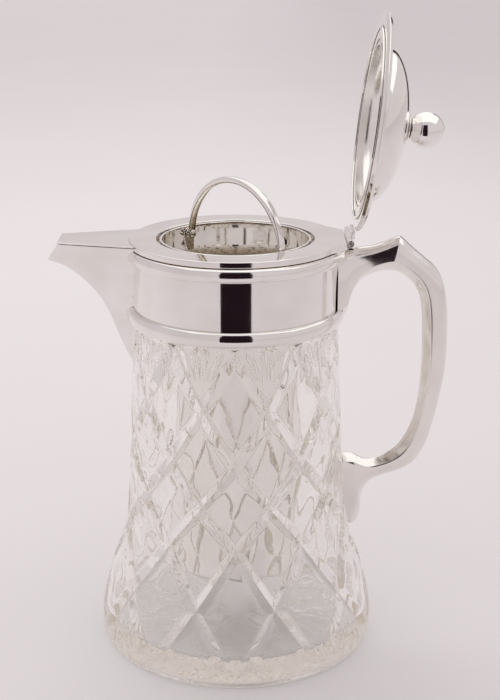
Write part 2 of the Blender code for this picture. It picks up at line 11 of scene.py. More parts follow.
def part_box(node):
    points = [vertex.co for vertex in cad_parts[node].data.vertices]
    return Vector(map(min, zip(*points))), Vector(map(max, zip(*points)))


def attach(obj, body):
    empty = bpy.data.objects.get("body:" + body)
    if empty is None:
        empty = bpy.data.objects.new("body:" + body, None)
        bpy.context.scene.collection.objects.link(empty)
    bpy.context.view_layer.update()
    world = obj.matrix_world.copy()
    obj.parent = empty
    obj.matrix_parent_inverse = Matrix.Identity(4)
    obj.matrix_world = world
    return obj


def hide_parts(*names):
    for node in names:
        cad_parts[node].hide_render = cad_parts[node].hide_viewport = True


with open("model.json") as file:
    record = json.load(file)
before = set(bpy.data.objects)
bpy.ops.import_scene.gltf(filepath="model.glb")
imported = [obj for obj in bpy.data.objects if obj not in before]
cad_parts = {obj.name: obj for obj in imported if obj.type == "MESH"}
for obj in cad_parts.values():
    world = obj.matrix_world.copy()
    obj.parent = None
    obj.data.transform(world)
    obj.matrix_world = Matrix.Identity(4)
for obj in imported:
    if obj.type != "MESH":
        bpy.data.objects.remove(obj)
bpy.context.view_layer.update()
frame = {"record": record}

MM = 0.001                  # bare dimensions below are in millimetres unless MM stands beside them
UP = Vector((0.0, 0.0, 1.0))
JOINTS = {joint["name"]: joint for joint in frame["record"]["behaviour"]["joints"]}
HINGE = Vector(JOINTS["lid_hinge"]["pos_m"])
LID_SWING = math.radians(JOINTS["lid_hinge"]["range_deg"][1])
BAIL_PIVOT = Vector(JOINTS["bail_swing"]["pos_m"])
BAIL_ALONG = Vector(JOINTS["bail_swing"]["axis"]).normalized()
FLANGE_LOW, FLANGE_HIGH = (corner.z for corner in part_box("top_flange"))
ROUND = 216                 # facets round a fine ring

# ---------------------------------------------------------------- camera
CAMERA_PLACE = (8.7 * MM, -823.5 * MM, 448.5 * MM)
CAMERA_PITCH = math.radians(17.7)
CAMERA_LENS = 72.4


def make_camera():
    data = bpy.data.cameras.new("camera")
    data.lens = CAMERA_LENS
    data.sensor_width = 36.0
    data.clip_start = 0.01
    data.clip_end = 50.0
    camera = bpy.data.objects.new("camera", data)
    camera.location = CAMERA_PLACE
    camera.rotation_euler = (math.pi / 2.0 - CAMERA_PITCH, 0.0, 0.0)
    bpy.context.scene.collection.objects.link(camera)
    bpy.context.scene.camera = camera


# ---------------------------------------------------------------- materials
def new_material(name):
    material = bpy.data.materials.new(name)
    material.use_nodes = True
    nodes = material.node_tree.nodes
    return material, nodes, material.node_tree.links, nodes["Principled BSDF"]


def noise_node(nodes, links, scale, detail, stretch=(1.0, 1.0, 1.0)):
    """Object-space noise, in metres, so that it stays with the piece."""
    place = nodes.new("ShaderNodeTexCoord")
    mapping = nodes.new("ShaderNodeMapping")
    mapping.inputs["Scale"].default_value = stretch
    noise = nodes.new("ShaderNodeTexNoise")
    noise.inputs["Scale"].default_value = scale
    noise.inputs["Detail"].default_value = detail
    links.new(place.outputs["Object"], mapping.inputs["Vector"])
    links.new(mapping.outputs["Vector"], noise.inputs["Vector"])
    return noise


def remap(nodes, links, source, low, high, start=0.3, end=0.7):
    """Spread a 0 to 1 value between two limits."""
    node = nodes.new("ShaderNodeMapRange")
    node.inputs["From Min"].default_value = start
    node.inputs["From Max"].default_value = end
    node.inputs["To Min"].default_value = low
    node.inputs["To Max"].default_value = high
    links.new(source, node.inputs["Value"])
    return node.outputs["Result"]


def tint(nodes, links, source, dark, light):
    ramp = nodes.new("ShaderNodeValToRGB")
    ramp.color_ramp.elements[0].position = 0.35
    ramp.color_ramp.elements[0].color = (*dark, 1.0)
    ramp.color_ramp.elements[1].position = 0.65
    ramp.color_ramp.elements[1].color = (*light, 1.0)
    links.new(source, ramp.inputs["Fac"])
    return ramp.outputs["Color"]


def add_bump(nodes, links, shader, height, distance, strength):
    bump = nodes.new("ShaderNodeBump")
    bump.inputs["Distance"].default_value = distance
    bump.inputs["Strength"].default_value = strength
    links.new(height, bump.inputs["Height"])
    links.new(bump.outputs["Normal"], shader.inputs["Normal"])


def painted_crevice_shade(nodes, links, clean):
    """Paint shade into joints: an ambient-occlusion mask darkens a colour and browns it."""
    shade = nodes.new("ShaderNodeAmbientOcclusion")
    shade.inputs["Distance"].default_value = 1.1 * MM
    shade.samples = 6
    mix = nodes.new("ShaderNodeMix")
    mix.data_type = "RGBA"
    # brown colour of the painted shade in the joints
    mix.inputs["A"].default_value = (0.42, 0.31, 0.24, 1.0)
    links.new(clean, mix.inputs["B"])
    links.new(remap(nodes, links, shade.outputs["AO"], 0.0, 1.0, 0.12, 0.50), mix.inputs["Factor"])
    return mix.outputs["Result"]


def silver_material(name, dark=(0.86, 0.835, 0.81), light=(0.93, 0.91, 0.89), rough=(0.035, 0.09),
                    scratch=0.12, stretch=(1.0, 1.0, 1.0)):
    """Polished silver plate: faint warm tarnish, hand-polish haze, hairline scratches and painted shade in
    the joints.
    """
    material, nodes, links, shader = new_material(name)
    shader.inputs["Metallic"].default_value = 1.0
    haze = noise_node(nodes, links, 38.0, 3.0)
    clean = tint(nodes, links, haze.outputs["Fac"], dark, light)
    # the base colour carries painted shade in the joints
    links.new(painted_crevice_shade(nodes, links, clean), shader.inputs["Base Color"])
    links.new(remap(nodes, links, haze.outputs["Fac"], *rough), shader.inputs["Roughness"])
    hairlines = noise_node(nodes, links, 900.0, 2.0, stretch)
    add_bump(nodes, links, shader, hairlines.outputs["Fac"], 0.02 * MM, scratch)
    return material


def crystal_material():
    """Clear lead crystal with the faint waviness that polishing leaves on cut faces."""
    material, nodes, links, shader = new_material("cut_crystal")
    shader.inputs["Transmission Weight"].default_value = 1.0
    shader.inputs["IOR"].default_value = 1.54
    shader.inputs["Base Color"].default_value = (0.995, 0.993, 0.988, 1.0)
    shader.inputs["Specular Tint"].default_value = (1.0, 0.985, 0.97, 1.0)
    wave = noise_node(nodes, links, 160.0, 2.0)
    links.new(remap(nodes, links, wave.outputs["Fac"], 0.0, 0.03, 0.45, 0.8), shader.inputs["Roughness"])
    add_bump(nodes, links, shader, wave.outputs["Fac"], 0.15 * MM, 0.25)
    absorption = nodes.new("ShaderNodeVolumeAbsorption")
    absorption.inputs["Color"].default_value = (0.93, 0.90, 0.84, 1.0)
    absorption.inputs["Density"].default_value = 8.0
    links.new(absorption.outputs["Volume"], nodes["Material Output"].inputs["Volume"])
    return material


def plaster_material():
    material, nodes, links, shader = new_material("plaster_cement")
    grain = noise_node(nodes, links, 420.0, 6.0)
    links.new(tint(nodes, links, grain.outputs["Fac"], (0.66, 0.63, 0.58), (0.82, 0.79, 0.74)),
              shader.inputs["Base Color"])
    shader.inputs["Roughness"].default_value = 0.92
    add_bump(nodes, links, shader, grain.outputs["Fac"], 0.3 * MM, 0.6)
    return material


SILVER = silver_material("silver_plate")
SILVER_CAST = silver_material("silver_cast", dark=(0.865, 0.83, 0.795), light=(0.93, 0.905, 0.88),
                              rough=(0.10, 0.19), scratch=0.16)
SILVER_LINER = silver_material("silver_liner", dark=(0.87, 0.85, 0.815), light=(0.94, 0.925, 0.90),
                               rough=(0.03, 0.08), scratch=0.12, stretch=(1.0, 1.0, 0.3))
SILVER_INSIDE = silver_material("silver_unpolished", dark=(0.90, 0.87, 0.84), light=(0.96, 0.94, 0.92),
                                rough=(0.18, 0.28))
SILVER_PIN = silver_material("silver_fastener", dark=(0.55, 0.50, 0.44), light=(0.80, 0.77, 0.73),
                             rough=(0.10, 0.24), scratch=0.3)
CRYSTAL = crystal_material()
PLASTER = plaster_material()


# ---------------------------------------------------------------- mesh helpers
def make_object(name, bm, material, smooth_angle=32.0):
    bmesh.ops.recalc_face_normals(bm, faces=bm.faces)
    mesh = bpy.data.meshes.new(name)
    bm.to_mesh(mesh)
    bm.free()
    mesh.shade_smooth()
    mesh.set_sharp_from_angle(angle=math.radians(smooth_angle))
    if material:
        mesh.materials.append(material)
    obj = bpy.data.objects.new(name, mesh)
    bpy.context.scene.collection.objects.link(obj)
    return obj


def softened(outline, radius, steps=3):
    """Round the sharp corners of a closed outline of (r, z) points."""
    result = []
    count = len(outline)
    for index, point in enumerate(outline):
        here = Vector(point)
        if point[0] == 0.0:
            result.append(point)
            continue
        back = Vector(outline[index - 1]) - here
        ahead = Vector(outline[(index + 1) % count]) - here
        turn = math.pi - back.angle(ahead)
        if turn < math.radians(22.0):
            result.append(point)
            continue
        reach = min(radius * math.tan(turn / 2.0), 0.45 * back.length, 0.45 * ahead.length)
        start = here + back.normalized() * reach
        end = here + ahead.normalized() * reach
        for step in range(steps + 1):
            share = step / steps
            corner = start * (1 - share) ** 2 + here * 2 * share * (1 - share) + end * share ** 2
            result.append((corner.x, corner.y))
    return result


def through(points, per_span):
    """A smooth path through its points (Catmull-Rom), each point a tuple of numbers."""
    ends = [2 * np.array(points[0]) - np.array(points[1]), 2 * np.array(points[-1]) - np.array(points[-2])]
    knots = [ends[0]] + [np.array(point, dtype=float) for point in points] + [ends[1]]
    path = []
    for index in range(1, len(knots) - 2):
        p0, p1, p2, p3 = knots[index - 1:index + 3]
        for step in range(per_span):
            t = step / per_span
            path.append(0.5 * (2 * p1 + (p2 - p0) * t + (2 * p0 - 5 * p1 + 4 * p2 - p3) * t ** 2
                               + (3 * p1 - p0 - 3 * p2 + p3) * t ** 3))
    path.append(knots[-2])
    return path


def revolve(name, outline, material=None, facets=ROUND, widen=None, smooth_angle=32.0):
    """Turn a closed (r, z) outline in millimetres about Z. widen(angle, r) may change a radius."""
    bm = bmesh.new()
    rings = []
    for radius, height in outline:
        if radius == 0.0:
            rings.append([bm.verts.new((0.0, 0.0, height * MM))])
            continue
        ring = []
        for step in range(facets):
            angle = 2.0 * math.pi * step / facets
            reach = (widen(angle, radius) if widen else radius) * MM
            ring.append(bm.verts.new((reach * math.cos(angle), reach * math.sin(angle), height * MM)))
        rings.append(ring)
    for index, ring in enumerate(rings):
        following = rings[(index + 1) % len(rings)]
        if len(ring) == 1 and len(following) == 1:
            continue
        for step in range(facets):
            after = (step + 1) % facets
            if len(ring) == 1:
                bm.faces.new((ring[0], following[after], following[step]))
            elif len(following) == 1:
                bm.faces.new((ring[step], ring[after], following[0]))
            else:
                bm.faces.new((ring[step], ring[after], following[after], following[step]))
    return make_object(name, bm, material, smooth_angle)


def loft(name, loops, material=None, smooth_angle=32.0):
    """Skin a row of equal closed loops, given in metres, and cap both ends."""
    bm = bmesh.new()
    rows = [[bm.verts.new(point) for point in loop] for loop in loops]
    count = len(rows[0])
    for row, following in zip(rows, rows[1:]):
        for step in range(count):
            after = (step + 1) % count
            bm.faces.new((row[step], row[after], following[after], following[step]))
    bm.faces.new(rows[0])
    bm.faces.new(rows[-1])
    return make_object(name, bm, material, smooth_angle)


def plate(name, outline, low, high, material=None, bevel=0.0):
    """Extrude an (x, y) outline in millimetres, bevelling its edges when a bevel width is given."""
    loops = [[Vector((x, y, height)) * MM for x, y in outline] for height in (low, high)]
    obj = loft(name, loops, material)
    if bevel:
        add_bevel(obj, bevel)
    return obj


def add_bevel(obj, width, angle=40.0):
    modifier = obj.modifiers.new("edge", "BEVEL")
    modifier.width = width * MM
    modifier.segments = 3
    modifier.limit_method = "ANGLE"
    modifier.angle_limit = math.radians(angle)


def settle_normals(obj):
    """Let the broad faces keep their flat shading where they meet a small rounded edge."""
    modifier = obj.modifiers.new("normals", "WEIGHTED_NORMAL")
    modifier.keep_sharp = True
    modifier.weight = 80


def bar(name, start, end, radius, facets=32):
    """A round bar between two points in metres, used to add or cut an eye."""
    start = Vector(start)
    direction = Vector(end) - start
    turn = direction.to_track_quat("Z", "Y").to_matrix().to_4x4()
    bm = bmesh.new()
    bmesh.ops.create_cone(bm, cap_ends=True, segments=facets, radius1=radius * MM, radius2=radius * MM,
                          depth=direction.length, matrix=Matrix.Translation(start + direction / 2.0) @ turn)
    return make_object(name, bm, None)


def carve(obj, other, operation="DIFFERENCE"):
    """Apply a Boolean and remove its modifier; the tool object stays."""
    modifier = obj.modifiers.new("boolean", "BOOLEAN")
    modifier.operation = operation
    modifier.solver = "EXACT"
    modifier.object = other
    depsgraph = bpy.context.evaluated_depsgraph_get()
    mesh = bpy.data.meshes.new_from_object(obj.evaluated_get(depsgraph))
    obj.modifiers.remove(modifier)
    obj.data = mesh


def drop(*objects):
    for obj in objects:
        bpy.data.objects.remove(obj, do_unlink=True)


def seat(obj, body, slot, *nodes):
    """Finish a piece: give it weighted normals unless its slot is cut glass, hang it on the empty of the body
    it rides, and hide the CAD parts it stands for.
    """
    if slot != "cut_glass":
        settle_normals(obj)
    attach(obj, body)
    if nodes:
        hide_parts(*nodes)


# ---------------------------------------------------------------- cut glass body
GLASS_OUTER = ((12.0, 86.2), (20.0, 85.6), (29.0, 84.0), (44.0, 79.9), (61.0, 74.1), (79.0, 69.8),
               (101.0, 67.3), (132.0, 65.7), (165.0, 64.1), (206.2, 62.3))
GLASS_TOP = 206.2
GLASS_NECK = 59.6
GLASS_NECK_TOP = 233.2
GLASS_WALL = 6.5
CUTS_ROUND = 10             # mitre cuts of each hand round the body
CUT_SHARE = 4.0 / 36.0      # half-width of a cut, as a share of the spacing between cuts
CUT_DEPTH = 3.1
CUT_LATTICE = 36            # mesh steps from one cut to the next
FRONT = -math.pi / 2.0      # the side of the glass that faces the viewer
# Heights of the rows of crossings, and the row that has a crossing facing the viewer.
CROSSINGS = (-38.0, 5.0, 45.5, 80.5, 107.3, 134.5, 167.0, 202.0, 238.0)
FRONT_ROW = 5
LATTICE_ROWS = (-134, 72)   # first and last mesh row of the lattice, counted from that crossing
# Fans: height of the point, way up or down, length, and depth as a share of a stroke's half-width.
FANS = ((168.0, 1.0, 36.5, 0.50), (46.0, -1.0, 33.0, 0.45))
FAN_STROKES = 7
FAN_START = 5.0             # bare stretch between a fan's point and its strokes
FAN_SPREAD = math.radians(27.0)
FOOT_TOP = 12.0             # below this height the outside is the uncut foot rim
FOOT_RIM = ((86.2, 11.0), (86.2, 9.6), (86.1, 7.0), (85.7, 4.0), (84.9, 1.8), (83.6, 0.5), (82.0, 0.0),
            (79.0, 0.0))
FOOT_INSIDE = 77.0          # radius where the hollow underside starts
FOOT_HOLLOW = 1.6
STAR_RADII = (77.0, 76.0, 75.0, 74.0, 72.0, 69.0, 65.0, 60.0, 54.0, 47.0, 40.0, 33.0, 26.0, 19.0, 13.0, 8.0,
              4.0)
STAR_REACH = 74.0
STAR_RAYS = 24
FOOT_FLUTES = 60
FLUTE_DEPTH = 0.2


def glass_radius(height, table=through(GLASS_OUTER, 12)):
    """Outer radius of the uncut glass at a height above the foot rim."""
    heights = [row[0] for row in table]
    radii = [row[1] for row in table]
    return float(np.interp(height, heights, radii))


def lattice_z(row, table=through([(height,) for height in CROSSINGS], CUT_LATTICE)):
    """Height of a mesh row; the cuts move on by one mesh step from row to row."""
    return float(table[row + FRONT_ROW * CUT_LATTICE][0])


def cut_climb(height):
    """How far the cuts have climbed, in spacings, from the crossing that faces the viewer."""
    steps = [index * 0.5 / CUT_LATTICE for index in range(-FRONT_ROW * CUT_LATTICE, 3 * CUT_LATTICE + 1)]
    heights = [lattice_z(index) for index in range(-FRONT_ROW * CUT_LATTICE, 3 * CUT_LATTICE + 1)]
    return float(np.interp(height, heights, steps))


def groove(distance, half_width, depth):
    """Depth of a V cut at a distance from its middle."""
    return depth * max(0.0, 1.0 - abs(distance) / half_width)


def mitre_depth(around, height):
    """Depth of the two crossing families of mitre cuts."""
    turns = CUTS_ROUND * around / (2.0 * math.pi)
    climb = cut_climb(height)
    fade = min(1.0, max(0.0, (height - FOOT_TOP) / 5.0), max(0.0, (GLASS_TOP - 0.6 - height) / 3.0))
    deepest = 0.0
    for phase in (turns + climb, turns - climb):
        off_line = phase - round(phase)
        deepest = max(deepest, groove(off_line, CUT_SHARE, CUT_DEPTH))
    return deepest * fade


def fan_depth(around, height):
    """Depth of the fans that spread from the outermost crossings to the collar and to the foot."""
    cell = 2.0 * math.pi / CUTS_ROUND
    nearest = (math.floor(around / cell) + 0.5) * cell
    aside = (around - nearest) * glass_radius(height)
    deepest = 0.0
    for origin, way, reach, steep in FANS:
        rise = (height - origin) * way
        if not FAN_START < rise < reach:
            continue
        lean = math.atan2(aside, rise)
        step = 2.0 * FAN_SPREAD / (FAN_STROKES - 1)
        stroke = round(lean / step)
        if abs(stroke) > (FAN_STROKES - 1) / 2:
            continue
        off_line = (lean - stroke * step) * rise
        share = (rise - FAN_START) / (reach - FAN_START)
        width = (0.5 + 2.4 * share) * min(1.0, (1.0 - share) / 0.12)
        deepest = max(deepest, groove(off_line, max(width, 0.2), steep * width))
    return deepest


def outer_radius(around, height):
    """Radius of the cut outside at an angle from the front."""
    depth = max(mitre_depth(around, height), fan_depth(around, height)) if height > FOOT_TOP else 0.0
    return glass_radius(height) - depth


def glass_point(around, radius, height):
    """A point of the glass in metres, at an angle from the front."""
    angle = FRONT + around
    return Vector((radius * math.cos(angle), radius * math.sin(angle), height)) * MM


def outer_point(around, height):
    return glass_point(around, outer_radius(around, height), height)


def star_height(around, radius):
    """Underside of the foot: a shallow hollow cut with a star."""
    if radius >= FOOT_INSIDE:
        return 0.0
    hollow = FOOT_HOLLOW * min(1.0, (FOOT_INSIDE - radius) / 3.0)
    ray = 2.0 * math.pi / STAR_RAYS
    off_ray = (around - round(around / ray) * ray) * radius
    width = min(0.5 * ray * radius, 0.34 * (STAR_REACH - radius))
    return hollow + (groove(off_ray, width, 0.09 * width) if width > 0.1 else 0.0)


def foot_radius(around, radius, height):
    """The foot rim carries fine upright flutes that fade at both ends."""
    flute = 2.0 * math.pi / FOOT_FLUTES
    off_ridge = abs(around / flute - round(around / flute)) * 2.0
    fade = min(1.0, max(0.0, (height - 0.8) / 1.5), max(0.0, (11.6 - height) / 1.5))
    return radius - FLUTE_DEPTH * fade * (1.0 - off_ridge ** 2)


def blown_radius(around, radius, height):
    """The inner wall keeps the slow waves of the blown blank."""
    if not 20.0 < height < 200.0:
        return radius
    fade = min(1.0, (height - 20.0) / 20.0, (200.0 - height) / 12.0)
    wave = math.sin(13.0 * around + height / 7.0) * math.sin(height / 4.6 + 2.0 * math.sin(5.0 * around))
    wave += 0.7 * math.sin(21.0 * around - height / 9.0 + 1.7 * math.sin(height / 13.0))
    return radius + 0.28 * fade * wave


def grow(bm, ring, radius_and_height):
    """Join a ring to a new one of the same count, whose places come from a function of the angle."""
    count = len(ring)
    following = []
    for step in range(count):
        around = 2.0 * math.pi * step / count
        following.append(bm.verts.new(glass_point(around, *radius_and_height(around))))
    for step in range(count):
        after = (step + 1) % count
        bm.faces.new((ring[step], ring[after], following[after], following[step]))
    return following


def make_glass():
    """Bell-shaped body on a mesh whose edges run along the cuts, so that every cut is crisp."""
    bm = bmesh.new()
    columns = CUTS_ROUND * CUT_LATTICE
    first, last = LATTICE_ROWS
    rows = {}
    for row in range(first, last + 1):
        offset = 0.5 * (row % 2)
        height = lattice_z(row)
        rows[row] = [bm.verts.new(outer_point(2.0 * math.pi * (step + offset) / columns, height))
                     for step in range(columns)]
    for row in range(first + 1, last):
        shift = row % 2
        for step in range(columns):
            side = (step + 1) % columns
            above = rows[row + 1][(step + shift) % columns]
            below = rows[row - 1][(step + shift) % columns]
            bm.faces.new((rows[row][step], below, rows[row][side], above))

    def close_row(row, inward):
        """Make a lattice row straight, with a vertex between each pair of its own."""
        shift = row % 2
        between = []
        for step in range(columns):
            around = 2.0 * math.pi * (step + 0.5 + 0.5 * shift) / columns
            between.append(bm.verts.new(outer_point(around, lattice_z(row))))
        ring = []
        for step in range(columns):
            side = (step + 1) % columns
            apex = rows[row + inward][(step + shift) % columns]
            bm.faces.new((rows[row][step], between[step], apex))
            bm.faces.new((between[step], rows[row][side], apex))
            ring += [rows[row][step], between[step]]
        return ring[-shift:] + ring[:-shift] if shift else ring

    upper = close_row(last, -1)
    lower = close_row(first, 1)

    ring = upper
    for height in (204.1, 204.8, 205.5, GLASS_TOP):
        ring = grow(bm, ring, lambda around: (outer_radius(around, height), height))
    neck_inner = GLASS_NECK - GLASS_WALL
    inside = [(GLASS_NECK + 0.6, GLASS_TOP + 0.3), (GLASS_NECK, GLASS_TOP + 1.0), (GLASS_NECK, 232.2),
              (GLASS_NECK - 1.0, GLASS_NECK_TOP), (neck_inner + 1.0, GLASS_NECK_TOP), (neck_inner, 232.2)]
    wall = [(206.0, neck_inner + 0.6), (190.0, neck_inner + 1.7)]
    wall += [(height, radius - GLASS_WALL) for height, radius in reversed(GLASS_OUTER[1:9])]
    wall += [(18.5, 76.0), (14.6, 72.0), (12.6, 64.0), (12.0, 50.0)]
    inside += [(radius, height) for height, radius in through(wall, 10)]
    inside += [(35.0, 12.0), (18.0, 12.0), (4.0, 12.0)]
    for radius, height in inside:
        ring = grow(bm, ring, lambda around: (blown_radius(around, radius, height), height))
    bm.faces.new(ring)

    ring = lower
    for height in (14.2, 13.4, 12.6, FOOT_TOP):
        ring = grow(bm, ring, lambda around: (outer_radius(around, height), height))
    for radius, height in FOOT_RIM:
        ring = grow(bm, ring, lambda around: (foot_radius(around, radius, height), height))
    for radius in STAR_RADII:
        ring = grow(bm, ring, lambda around: (radius, star_height(around, radius)))
    bm.faces.new(ring)
    glass = make_object("crystal_body", bm, CRYSTAL, smooth_angle=60.0)
    glass.visible_shadow = False
    seat(glass, "jug", "cut_glass", "glass_body")


# ---------------------------------------------------------------- collar, mouldings and flange
COLLAR = 62.3
COLLAR_INSIDE = 60.8
COLLAR_HEIGHTS = (207.0, 252.8)
POUR_HOLE = 3.4
POUR_HOLE_Z = 239.0
POUR_HOLE_APART = math.radians(8.2)
MOULDING = 66.0
LOWER_MOULDING = (206.6, 215.8)
UPPER_MOULDING = (244.7, 252.8)
FLANGE_HOLE = 47.3
FLANGE_EDGE = 63.5
TONGUE_ROOT = (55.0, 31.0)
TONGUE_END = (65.7, 20.0)


def half_round(inner, outer, low, high, steps=18):
    """Outline of a half-round wire soldered against a cylinder."""
    middle = (low + high) / 2.0
    half = (high - low) / 2.0
    swell = outer - inner
    points = [(inner, low)]
    for step in range(steps + 1):
        angle = math.pi * (step / steps - 0.5)
        points.append((inner + swell * (0.30 + 0.70 * math.cos(angle)), middle + half * math.sin(angle)))
    points.append((inner, high))
    return points


def envelope():
    """The mounted body, swelled by a hair: it trims the roots of spout and handle."""
    gap = 0.05
    outline = [(0.0, 20.0)]
    for height in (24.0, 34.0, 44.0, 54.0, 64.0, 74.0, 84.0, 94.0, 104.0, 118.0, 132.0, 165.0, GLASS_TOP):
        outline.append((glass_radius(height) + gap, height))
    outline += half_round(COLLAR, MOULDING + gap, *LOWER_MOULDING, steps=10)[1:]
    outline += half_round(COLLAR, MOULDING + gap, *UPPER_MOULDING, steps=10)[:-1]
    outline += [(FLANGE_EDGE + gap, 253.0), (FLANGE_EDGE + gap, 256.9), (0.0, 256.9)]
    return revolve("envelope", outline, facets=160)


def flange_reach(angle, radius):
    """Widen the flange's outer edge into the hinge tongue at the rear."""
    if radius < 55.0:
        return radius
    inset = FLANGE_EDGE - radius
    x_axis, y_axis = math.cos(angle), abs(math.sin(angle))
    (root_x, root_y), (end_x, end_y) = TONGUE_ROOT, TONGUE_END
    if x_axis <= 0.0 or y_axis / x_axis > root_y / root_x:
        return radius
    if y_axis / x_axis < end_y / end_x:
        reach = end_x / x_axis
    else:
        run, fall = end_x - root_x, end_y - root_y
        reach = (root_y * run - root_x * fall) / (y_axis * run - x_axis * fall)
    return max(reach, FLANGE_EDGE) - inset


def make_collar():
    low, high = COLLAR_HEIGHTS
    outline = softened([(COLLAR_INSIDE, low), (COLLAR, low), (COLLAR, high), (COLLAR_INSIDE, high)], 0.2, 2)
    band = revolve("collar_band_fine", outline, SILVER)
    for number in (-1, 0, 1):
        angle = math.pi + POUR_HOLE_APART * number
        outward = Vector((math.cos(angle), math.sin(angle), 0.0))
        centre = outward * COLLAR * MM + UP * POUR_HOLE_Z * MM
        hole = bar("pour_hole", centre - outward * 0.004, centre + outward * 0.004, POUR_HOLE)
        carve(band, hole)
        drop(hole)
    seat(band, "jug", "silver_plate", "collar_band")

    for name, limits in (("lower_moulding", LOWER_MOULDING), ("upper_moulding", UPPER_MOULDING)):
        outline = half_round(COLLAR + 0.05, MOULDING, *limits)
        ring = revolve(name + "_fine", outline, SILVER, smooth_angle=50.0)
        seat(ring, "jug", "silver_plate", name)

    low, high = FLANGE_LOW / MM, FLANGE_HIGH / MM
    outline = softened([(FLANGE_HOLE, low), (FLANGE_EDGE, low), (FLANGE_EDGE, high),
                        (FLANGE_HOLE, high)], 0.7, 4)
    flange = revolve("top_flange_fine", outline, SILVER, facets=360, widen=flange_reach, smooth_angle=40.0)
    seat(flange, "jug", "silver_plate", "top_flange")

    ledge = softened([(43.63, 241.5), (50.0, 241.5), (50.0, 252.8), (47.6, 252.8), (47.6, 244.0),
                      (44.39, 244.0)], 0.3, 2)
    seat(revolve("ice_tube_seat_fine", ledge, SILVER_LINER), "jug", "silver_plate", "ice_tube_seat")
    cement = softened([(59.9, 209.0), (60.5, 209.0), (60.5, 231.0), (59.9, 231.0)], 0.1, 2)
    seat(revolve("neck_cement_fine", cement, PLASTER), "jug", "plaster_cement", "neck_cement")


# ---------------------------------------------------------------- spout
# From the lip to the tail: keel point, top edge or collar joint, half-width there.
SPOUT_STATIONS = (
    (-113.0, 243.0, -105.5, 254.9, 12.2),
    (-107.6, 241.1, -96.5, 254.9, 14.4),
    (-101.7, 238.6, -87.0, 254.9, 16.8),
    (-93.4, 232.4, -76.0, 254.9, 19.6),
    (-86.4, 225.4, -66.0, 254.9, 22.1),
    (-80.8, 218.2, -57.0, 254.9, 24.2),
    (-75.9, 208.3, -57.0, 236.0, 18.4),
    (-72.2, 198.6, -58.0, 218.0, 12.4),
    (-68.3, 189.0, -59.5, 202.0, 7.2),
    (-65.0, 182.3, -60.5, 190.0, 3.2),
    (-62.0, 177.5, -60.0, 181.0, 1.2),
)
SPOUT_TOP = 256.2
SPOUT_WALL = 1.4


def spout_loop(station, inset=0.0, overshoot=0.0, shares=12):
    """A V section in the plane of a keel point and the two top corners."""
    keel_x, keel_z, top_x, top_z, half_width = station
    keel = Vector((keel_x, 0.0, keel_z))
    top = Vector((top_x, 0.0, top_z))
    rise = (top - keel).normalized()
    bottom = keel + rise * inset * 1.5
    ceiling = top + rise * overshoot
    span = (top - keel).length
    sides = ([], [])
    for index in range(shares + 1):
        share = (index / shares) ** 1.3
        point = bottom.lerp(ceiling, share)
        along = (point - keel).length / span
        width = max(half_width * along ** 0.92 - inset, 0.30)
        for row, side in zip(sides, (-1.0, 1.0)):
            row.append((point + Vector((0.0, side * width, 0.0))) * MM)
    return sides[0] + list(reversed(sides[1]))


def make_spout(body):
    head = through(SPOUT_STATIONS[:6], 5)
    tail = through(SPOUT_STATIONS[5:], 5)
    shell = loft("spout_shell_fine", [spout_loop(station) for station in head[:-1] + tail], SILVER)
    channel = [spout_loop(station, SPOUT_WALL, 4.0) for station in head[:-1] + tail[:6]]
    mouth = [point + Vector((-4.0, 0.0, 1.4)) * MM for point in channel[0]]
    cutter = loft("spout_channel", [mouth] + channel)
    carve(shell, cutter)
    carve(shell, body)
    drop(cutter)
    add_bevel(shell, 0.25)
    seat(shell, "jug", "silver_plate", "spout_shell")

    lip_x, lip_half = SPOUT_STATIONS[0][2], SPOUT_STATIONS[0][4]
    root_x, root_half = SPOUT_STATIONS[5][2], SPOUT_STATIONS[5][4]
    outline = [(lip_x, -lip_half), (root_x, -root_half), (root_x, root_half), (lip_x, lip_half)]
    cover = plate("spout_cover_fine", outline, SPOUT_TOP - 1.0, SPOUT_TOP, SILVER)
    carve(cover, body)
    add_bevel(cover, 0.25)
    seat(cover, "jug", "silver_plate", "spout_cover")


# ---------------------------------------------------------------- handle
# From the collar to the foot pad: outer edge, inner edge (X and Z) and half-width along Y.
HANDLE_STATIONS = (
    (61.0, 250.2, 61.0, 208.0, 16.0),
    (67.0, 250.4, 66.8, 210.0, 13.5),
    (72.0, 250.6, 69.2, 218.5, 10.8),
    (77.5, 251.1, 72.4, 226.3, 9.2),
    (83.5, 252.1, 77.4, 231.6, 8.4),
    (90.0, 254.3, 83.4, 235.0, 8.2),
    (95.3, 256.7, 89.0, 236.3, 8.3),
    (98.4, 257.8, 92.6, 236.5, 8.5),
    (101.0, 255.7, 95.6, 236.3, 8.3),
    (106.5, 250.6, 99.6, 234.9, 8.0),
    (113.5, 244.6, 104.0, 231.9, 7.8),
    (120.2, 238.5, 108.3, 227.0, 7.7),
    (125.3, 229.5, 111.6, 219.8, 7.7),
    (128.4, 215.0, 113.2, 209.0, 7.7),
    (129.3, 195.4, 113.9, 194.0, 7.7),
    (129.0, 177.0, 114.0, 177.0, 7.6),
    (126.6, 159.5, 113.1, 160.5, 7.4),
    (123.0, 141.5, 110.4, 143.5, 7.1),
    (118.5, 125.2, 106.0, 131.5, 6.9),
    (111.5, 113.3, 100.2, 122.8, 6.8),
    (101.5, 107.2, 93.5, 117.8, 6.9),
    (92.0, 104.2, 86.5, 114.8, 7.1),
    (85.6, 101.2, 81.2, 114.0, 7.5),
    (80.9, 96.2, 76.8, 115.8, 8.0),
    (78.7, 89.0, 73.2, 117.8, 8.4),
    (78.4, 79.0, 69.0, 118.2, 8.2),
    (74.6, 70.6, 62.5, 117.0, 7.2),
    (66.0, 68.5, 58.0, 115.0, 6.6),
)
PEAK_STATION = 7            # the pointed thumb rest, where the outline turns sharply
